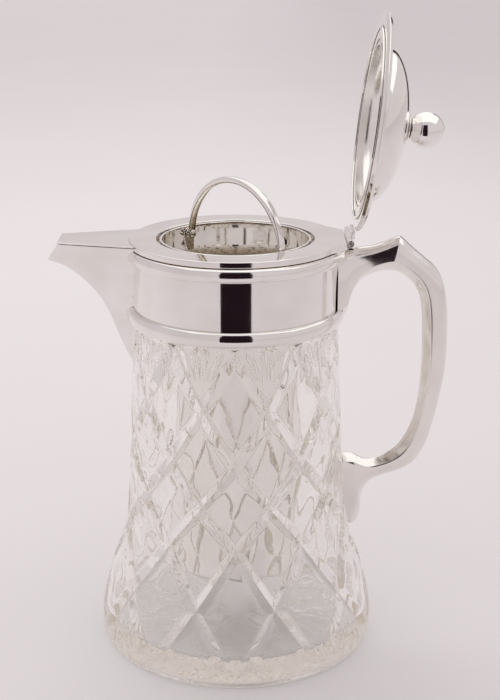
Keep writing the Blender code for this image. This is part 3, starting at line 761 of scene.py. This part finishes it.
# Where the crease lies at each station, from -1 at the inner edge to 1 at the outer one.
CREASES = (-0.70, -0.62, -0.52, -0.46, *[-0.42] * 16, -0.44, -0.50, -0.60, -0.70, -0.78, -0.84, -0.88, -0.90)
INNER_FACE = ((0.0, 0.02), (0.05, 0.12), (0.52, 0.53), (1.0, 0.93))
OUTER_FACE = ((-0.27, 0.97), (-0.20, 0.997), (-0.10, 1.0), (0.15, 0.99), (0.45, 0.935), (0.70, 0.80),
              (0.88, 0.55), (0.97, 0.28), (1.0, 0.04))


def handle_loop(station):
    """Section of the handle: a sharp inner chamfer up to a crease, then a broad rounded face."""
    outer_x, outer_z, inner_x, inner_z, half_width, crease = station
    outer = Vector((outer_x, 0.0, outer_z))
    inner = Vector((inner_x, 0.0, inner_z))
    section = [(-1.0 + (crease + 1.0) * share, width) for share, width in INNER_FACE]
    shift = crease - OUTER_FACE[0][0]
    section += [(along + shift * (1.0 - along) / (1.0 - OUTER_FACE[0][0]), width)
                for along, width in through(OUTER_FACE, 2)]
    sides = ([], [])
    for along, share in section:
        point = inner.lerp(outer, (along + 1.0) / 2.0)
        for row, side in zip(sides, (-1.0, 1.0)):
            row.append((point + Vector((0.0, side * share * half_width, 0.0))) * MM)
    return sides[0] + list(reversed(sides[1]))


def make_handle(body):
    stations = [(*station, crease) for station, crease in zip(HANDLE_STATIONS, CREASES)]
    root = through(stations[:PEAK_STATION + 1], 4)
    grip = through(stations[PEAK_STATION:], 5)
    loops = [handle_loop(station) for station in root[:-1] + grip]
    handle = loft("handle_fine", loops, SILVER_CAST, smooth_angle=24.0)
    carve(handle, body)
    add_bevel(handle, 0.35, 30.0)
    seat(handle, "jug", "silver_plate", "handle")


# ---------------------------------------------------------------- hinge
KNUCKLE = 2.0
HINGE_BORE = 1.1
HINGE_HALF = 20.0           # half the length of the fixed knuckles and bracket, along Y
HINGE_GAP = 10.0            # half the opening between the fixed knuckles
PIN = 0.8
PIN_HALF = 20.6


def barrel(name, start, end, material):
    """A bored knuckle about the Y axis, with softened ends, in millimetres."""
    outline = softened([(HINGE_BORE, start), (KNUCKLE, start), (KNUCKLE, end), (HINGE_BORE, end)], 0.25, 2)
    knuckle = revolve(name, outline, material, facets=48)
    knuckle.data.transform(Matrix.Rotation(-math.pi / 2.0, 4, "X"))
    return knuckle


def make_fixed_hinge():
    for name, start, end in (("front", -HINGE_HALF, -HINGE_GAP), ("rear", HINGE_GAP, HINGE_HALF)):
        knuckle = barrel("hinge_knuckle_%s_fine" % name, start, end, SILVER)
        knuckle.data.transform(Matrix.Translation(HINGE))
        seat(knuckle, "jug", "silver_plate", "hinge_knuckle_" + name)
    outline = softened([(0.0, -PIN_HALF), (PIN, -PIN_HALF), (PIN, PIN_HALF), (0.0, PIN_HALF)], 0.3, 3)
    pin = revolve("hinge_pin_fine", outline, SILVER_PIN, facets=32)
    pin.data.transform(Matrix.Translation(HINGE) @ Matrix.Rotation(-math.pi / 2.0, 4, "X"))
    seat(pin, "jug", "plated_fastener", "hinge_pin")
    outline = [(66.0, -HINGE_HALF), (69.8, -HINGE_HALF), (69.8, HINGE_HALF), (66.0, HINGE_HALF)]
    bracket = plate("hinge_bracket_fine", outline, 252.9, 254.7, SILVER, bevel=0.4)
    seat(bracket, "jug", "silver_plate", "hinge_bracket")


# ---------------------------------------------------------------- lid, modelled closed about the hinge
LID_OFFSET = 68.5
LID_RADIUS = 63.75
LID_LOW = 1.4
LID_RIM = 3.5
THUMB_LIP = 2.2             # how far the rim is drawn out opposite the hinge
DOME = 46.7
DOME_WALL = 1.2
DOME_TOP = LID_LOW + 23.0
BALL = 10.9
BALL_CENTRE = LID_LOW + 34.0
STUD = 1.5


def seat_on_lid(obj, slot, node, shifted=True):
    """Swing a piece made for the closed lid to the open pose of the frame."""
    shift = Matrix.Translation((-LID_OFFSET * MM, 0.0, 0.0)) if shifted else Matrix.Identity(4)
    swing = Matrix.Translation(HINGE) @ Matrix.Rotation(LID_SWING, 4, "Y")
    obj.data.transform(swing @ shift)
    seat(obj, "lid", slot, *([node] if node else []))


def thumb_lip(angle, radius):
    """Draw the rim's outer edge out a little opposite the hinge, where a thumb lifts it."""
    if radius < 60.0:
        return radius
    return radius + THUMB_LIP * max(0.0, -math.cos(angle)) ** 8


def make_lid():
    high = LID_LOW + LID_RIM
    rim = softened([(DOME + 0.05, LID_LOW), (61.2, LID_LOW), (LID_RADIUS + 0.1, LID_LOW + 1.7),
                    (61.9, high)], 0.5, 4)
    rim += [(59.6, high - 0.2), (DOME + 2.2, high - 0.2), (DOME + 0.8, high), (DOME + 0.05, high)]
    rim = revolve("lid_rim_fine", rim, SILVER, widen=thumb_lip, smooth_angle=40.0)
    seat_on_lid(rim, "silver_plate", "lid_rim")

    ring = softened([(54.3, LID_LOW - 0.1), (54.5, LID_LOW - 1.3), (56.5, LID_LOW - 1.3),
                     (56.7, LID_LOW - 0.1)], 0.5, 4)
    seat_on_lid(revolve("lid_seat_ring_fine", ring, SILVER), "silver_plate", "lid_seat_ring")

    hole = STUD + 0.3
    dome = [(DOME, LID_LOW), (DOME, high)]
    steps = 28
    for step in range(1, steps):
        angle = math.pi / 2.0 * step / steps
        dome.append((max(DOME * math.cos(angle), hole + 0.5), high + (DOME_TOP - high) * math.sin(angle)))
    dome += [(hole, DOME_TOP), (hole, DOME_TOP - DOME_WALL)]
    for step in range(steps - 1, 0, -1):
        angle = math.pi / 2.0 * step / steps
        dome.append((max((DOME - DOME_WALL) * math.cos(angle), hole + 0.5),
                     high + (DOME_TOP - DOME_WALL - high) * math.sin(angle)))
    dome += [(DOME - DOME_WALL, high), (DOME - DOME_WALL, LID_LOW)]
    seat_on_lid(revolve("lid_dome_fine", dome, SILVER), "silver_plate", "lid_dome")
    lining = []
    for reach in (1.25, 1.45):
        face = [(DOME - reach, LID_LOW + 0.05), (DOME - reach, high)]
        for step in range(1, steps):
            angle = math.pi / 2.0 * step / steps
            height = high + (DOME_TOP - reach - high) * math.sin(angle)
            if (DOME - reach) * math.cos(angle) > 4.5:
                face.append(((DOME - reach) * math.cos(angle), height))
        lining += face if reach < 1.4 else reversed(face)
    seat_on_lid(revolve("lid_dome_inside", lining, SILVER_INSIDE), "silver_plate", None)

    flat = 4.8
    ball_flat = BALL_CENTRE - math.sqrt(BALL ** 2 - flat ** 2)
    low, top = DOME_TOP + 0.1, ball_flat - 0.1
    cup = softened([(hole, low), (8.8, low), (8.2, low + 0.6), (6.8, low + 1.2), (6.0, low + 1.3), (5.0, top),
                    (hole, top)], 0.3, 3)
    seat_on_lid(revolve("finial_neck_fine", cup, SILVER, facets=96), "silver_plate", "finial_neck")

    bore_top = BALL_CENTRE - BALL + 6.0
    ball = [(0.0, bore_top), (hole, bore_top), (hole, ball_flat), (flat, ball_flat)]
    start = math.asin((ball_flat - BALL_CENTRE) / BALL)
    rows = 40
    for row in range(1, rows):
        angle = start + (math.pi / 2.0 - start) * row / rows
        ball.append((BALL * math.cos(angle), BALL_CENTRE + BALL * math.sin(angle)))
    ball.append((0.0, BALL_CENTRE + BALL))
    seat_on_lid(revolve("finial_ball_fine", ball, SILVER, facets=96), "silver_plate", "finial_ball")

    low = DOME_TOP - 5.2
    stud = softened([(0.0, low), (STUD, low), (STUD, bore_top - 0.3), (0.0, bore_top - 0.3)], 0.4, 3)
    seat_on_lid(revolve("finial_stud_fine", stud, SILVER_PIN, facets=32), "plated_fastener", "finial_stud")
    top = DOME_TOP - 1.7
    nut = softened([(hole, top - 2.4), (4.0, top - 2.4), (4.0, top), (hole, top)], 0.3, 2)
    piece = revolve("finial_nut_fine", nut, SILVER_PIN, facets=48)
    seat_on_lid(piece, "plated_fastener", "finial_nut")

    knuckle = barrel("lid_knuckle_fine", -9.7, 9.7, SILVER)
    leaf = plate("lid_leaf", [(-9.0, -9.7), (-1.3, -9.7), (-1.3, 9.7), (-9.0, 9.7)], 0.3, KNUCKLE + 0.4)
    reach = LID_RADIUS + 0.1
    disc = revolve("lid_leaf_trim", [(0.0, -10.0), (reach, -10.0), (reach, 10.0), (0.0, 10.0)])
    disc.data.transform(Matrix.Translation((-LID_OFFSET * MM, 0.0, 0.0)))
    carve(knuckle, leaf, "UNION")
    carve(knuckle, disc)
    drop(leaf, disc)
    seat_on_lid(knuckle, "silver_plate", "lid_knuckle", shifted=False)


# ---------------------------------------------------------------- ice tube and bail
TUBE_MOUTH = 256.4
TUBE_RIM = 45.5
TUBE_MOUTH_FOOT = (44.5, 245.5)
TUBE_SHOULDER = (41.6, 236.0)
TUBE_TAPER = 0.03
TUBE_WALL = 0.8
TUBE_FOOT = (40.2, 48.0)
LUG_HEAD = 3.1              # radius of the lug's round top
LUG_FOOT = 2.4              # half-width of its lower end
LUG_LENGTH = 11.0
BAIL_SPAN = 41.15
BAIL_RISE = 39.0
BAIL_EYE_THICK = 0.55       # half-thickness at the eyes, and what the arch adds to it
BAIL_SWELL = 1.5
BAIL_HALF_WIDTH = 2.5


def tube_radius(height):
    return TUBE_MOUTH_FOOT[0] + (height - TUBE_MOUTH_FOOT[1]) * TUBE_TAPER


def make_ice_tube():
    lip = TUBE_MOUTH - 1.5
    radius, foot = TUBE_FOOT
    shoulder, shoulder_z = TUBE_SHOULDER
    mouth, mouth_z = TUBE_MOUTH_FOOT
    outside = softened([
        (tube_radius(lip) - TUBE_WALL, TUBE_MOUTH), (TUBE_RIM, TUBE_MOUTH), (TUBE_RIM, TUBE_MOUTH - 1.0),
        (tube_radius(lip), lip), (mouth, mouth_z), (shoulder, shoulder_z), (radius, foot + 3.0),
        (radius - 3.0, foot), (0.0, foot)], 0.45, 3)
    inside = [(0.0, foot + TUBE_WALL), (radius - 3.4, foot + TUBE_WALL), (radius - TUBE_WALL, foot + 3.3),
              (shoulder - TUBE_WALL, shoulder_z), (mouth - TUBE_WALL, mouth_z),
              (tube_radius(lip) - TUBE_WALL, lip)]
    tube = revolve("ice_tube_fine", outside + inside, SILVER_LINER, smooth_angle=25.0)
    seat(tube, "ice_tube", "silver_liner", "ice_tube")

    wall = tube_radius(BAIL_PIVOT.z / MM) - TUBE_WALL
    for number, side in ((1, 1.0), (2, -1.0)):
        outward = BAIL_ALONG * side
        across = Vector((-outward.y, outward.x, 0.0))
        turn = Matrix((across, UP, outward)).transposed().to_4x4()
        turns = [math.pi * step / 18 for step in range(19)]
        outline = [(LUG_HEAD * math.cos(angle), LUG_HEAD * math.sin(angle)) for angle in turns]
        outline += [(-LUG_FOOT, -LUG_LENGTH), (LUG_FOOT, -LUG_LENGTH)]
        lug = plate("bail_lug_%d_fine" % number, outline, -0.35, 0.35, SILVER_LINER)
        place = Matrix.Translation(BAIL_PIVOT + outward * (wall - 0.8) * MM)
        lug.data.transform(place @ turn @ Matrix.Rotation(math.atan(TUBE_TAPER), 4, "X"))
        add_bevel(lug, 0.2)
        seat(lug, "ice_tube", "silver_liner", "bail_lug_%d" % number)

        head = BAIL_SPAN - 2.1
        outline = [(0.0, head), (0.9, head + 0.06), (1.6, head + 0.25), (2.1, head + 0.6), (2.3, head + 1.0),
                   (2.3, head + 1.2), (1.2, head + 1.2), (1.2, wall + 1.3), (0.0, wall + 1.3)]
        rivet = revolve("bail_rivet_%d_fine" % number, outline, SILVER_PIN, facets=32)
        rivet.data.transform(Matrix.Translation(BAIL_PIVOT) @ turn)
        seat(rivet, "ice_tube", "plated_fastener", "bail_rivet_%d" % number)


def make_bail():
    """An arched strap of rounded section that thins into a flat round eye at each end."""
    across = Vector((-BAIL_ALONG.y, BAIL_ALONG.x, 0.0))
    loops = []
    steps, corners = 72, 24
    for step in range(steps + 1):
        angle = math.pi * step / steps
        lift = math.sin(angle)
        centre = BAIL_ALONG * (BAIL_SPAN * math.cos(angle)) + UP * (BAIL_RISE * lift)
        radial = (BAIL_ALONG * (BAIL_RISE * math.cos(angle)) + UP * (BAIL_SPAN * lift)).normalized()
        thick = BAIL_EYE_THICK + BAIL_SWELL * min(1.0, lift * 1.6)
        loop = []
        for corner in range(corners):
            turn = 2.0 * math.pi * corner / corners
            square = 1.0 / (abs(math.cos(turn)) ** 3 + abs(math.sin(turn)) ** 3) ** (1.0 / 3.0)
            loop.append((centre + radial * (thick * math.cos(turn) * square)
                         + across * (BAIL_HALF_WIDTH * math.sin(turn) * square)) * MM + BAIL_PIVOT)
        loops.append(loop)
    bail = loft("bail_fine", loops, SILVER, smooth_angle=50.0)
    for side in (1.0, -1.0):
        outward = BAIL_ALONG * side
        inner = BAIL_PIVOT + outward * (BAIL_SPAN - BAIL_EYE_THICK) * MM
        outer = BAIL_PIVOT + outward * (BAIL_SPAN + BAIL_EYE_THICK) * MM
        eye = bar("bail_eye", inner, outer, 3.0, facets=40)
        hole = bar("bail_hole", inner - outward * 0.004, outer + outward * 0.004, 1.5)
        carve(bail, eye, "UNION")
        carve(bail, hole)
        drop(eye, hole)
    add_bevel(bail, 0.15, 50.0)
    seat(bail, "bail", "silver_liner", "bail")


# ---------------------------------------------------------------- studio
LIGHT_BOUNCES = 64          # light crosses many facets in the cut glass, and goes black with fewer


def floor_material(name, colour, painted_glow):
    """Matt paper with painted light: it glows a little, and more far off on the spout's side, standing in for
    the studio lights that reach it there.
    """
    material, nodes, links, shader = new_material(name)
    mottle = noise_node(nodes, links, 3.0, 4.0)
    darker = tuple(channel * 0.985 for channel in colour)
    links.new(tint(nodes, links, mottle.outputs["Fac"], darker, colour), shader.inputs["Base Color"])
    shader.inputs["Roughness"].default_value = 0.95
    # painted light: the paper emits its own colour
    shader.inputs["Emission Color"].default_value = (*colour, 1.0)
    place = nodes.new("ShaderNodeTexCoord")
    split = nodes.new("ShaderNodeSeparateXYZ")
    links.new(place.outputs["Object"], split.inputs["Vector"])
    # painted light grows far off and on the spout's side
    far = remap(nodes, links, split.outputs["Y"], 0.06, 0.135, 0.7, 2.4)
    side = remap(nodes, links, split.outputs["X"], 1.0, 0.35, -0.1, 0.45)
    blend = nodes.new("ShaderNodeMath")
    blend.operation = "MULTIPLY_ADD"
    links.new(far, blend.inputs[0])
    links.new(side, blend.inputs[1])
    blend.inputs[2].default_value = painted_glow
    links.new(blend.outputs["Value"], shader.inputs["Emission Strength"])
    return material


def make_floor():
    bm = bmesh.new()
    bmesh.ops.create_circle(bm, cap_ends=True, segments=96, radius=14.0)
    floor = make_object("floor", bm, floor_material("floor_paper", (0.80, 0.775, 0.762), 0.07))
    floor.location = (0.0, 0.0, -0.2 * MM)


def card(name, centre, width, height, colour, strength, level=False):
    """A flat card that only shows in reflections: upright and facing the jug, or level above it."""
    bm = bmesh.new()
    bmesh.ops.create_grid(bm, x_segments=1, y_segments=1, size=0.5)
    material = bpy.data.materials.new(name)
    material.use_nodes = True
    nodes = material.node_tree.nodes
    nodes.clear()
    emission = nodes.new("ShaderNodeEmission")
    emission.inputs["Color"].default_value = (*colour, 1.0)
    emission.inputs["Strength"].default_value = strength
    output = nodes.new("ShaderNodeOutputMaterial")
    material.node_tree.links.new(emission.outputs["Emission"], output.inputs["Surface"])
    obj = make_object(name, bm, material)
    obj.scale = (width, height, 1.0)
    obj.location = centre
    if not level:
        inward = Vector((-centre[0], -centre[1], 0.0))
        obj.rotation_euler = inward.to_track_quat("Z", "Y").to_euler()
    obj.visible_camera = False
    obj.visible_shadow = False
    obj.visible_diffuse = False
    obj.visible_transmission = False


def area_light(name, place, size, power, colour=(1.0, 1.0, 1.0)):
    data = bpy.data.lights.new(name, "AREA")
    data.shape = "RECTANGLE"
    data.size, data.size_y = size
    data.energy = power
    data.color = colour
    light = bpy.data.objects.new(name, data)
    light.location = place
    target = Vector((0.0, 0.0, 0.12))
    light.rotation_euler = (target - Vector(place)).to_track_quat("-Z", "Y").to_euler()
    light.visible_transmission = False
    bpy.context.scene.collection.objects.link(light)
    return light


def make_world():
    """A pale tent: lilac grey overhead, warmer towards the horizon."""
    world = bpy.data.worlds.new("studio")
    bpy.context.scene.world = world
    world.use_nodes = True
    nodes = world.node_tree.nodes
    links = world.node_tree.links
    place = nodes.new("ShaderNodeTexCoord")
    split = nodes.new("ShaderNodeSeparateXYZ")
    ramp = nodes.new("ShaderNodeValToRGB")
    ramp.color_ramp.elements[0].position = 0.0
    ramp.color_ramp.elements[0].color = (0.70, 0.645, 0.635, 1.0)
    ramp.color_ramp.elements[1].position = 0.8
    ramp.color_ramp.elements[1].color = (0.66, 0.615, 0.65, 1.0)
    links.new(place.outputs["Generated"], split.inputs["Vector"])
    links.new(split.outputs["Z"], ramp.inputs["Fac"])
    shade = nodes.new("ShaderNodeMix")
    shade.data_type = "RGBA"
    shade.blend_type = "MULTIPLY"
    shade.inputs["B"].default_value = (0.93, 0.925, 0.935, 1.0)
    links.new(remap(nodes, links, split.outputs["X"], 1.0, 0.0, -0.8, 0.1), shade.inputs["Factor"])
    links.new(ramp.outputs["Color"], shade.inputs["A"])
    links.new(shade.outputs["Result"], nodes["Background"].inputs["Color"])
    nodes["Background"].inputs["Strength"].default_value = 1.0


def make_studio():
    make_world()
    make_floor()
    card("camera_opening", (0.009, -0.58, 0.40), 0.33, 0.82, (0.014, 0.007, 0.010), 1.0)
    card("ceiling_softbox", (0.50, 1.05, 1.78), 3.4, 3.7, (1.0, 0.985, 0.965), 1.12, level=True)
    card("dark_doorway", (1.20, 2.20, 1.1), 0.34, 2.2, (0.07, 0.05, 0.04), 1.0)
    light = area_light("overhead_light", (-0.25, 1.0, 1.8), (1.8, 1.0), 9.5)
    light.visible_glossy = False
    scene = bpy.context.scene
    scene.view_settings.view_transform = "Standard"
    scene.cycles.max_bounces = LIGHT_BOUNCES
    scene.cycles.transmission_bounces = LIGHT_BOUNCES
    scene.cycles.glossy_bounces = LIGHT_BOUNCES


def main():
    make_camera()
    make_glass()
    body = envelope()
    make_collar()
    make_spout(body)
    make_handle(body)
    drop(body)
    make_fixed_hinge()
    make_lid()
    make_ice_tube()
    make_bail()
    make_studio()


main()
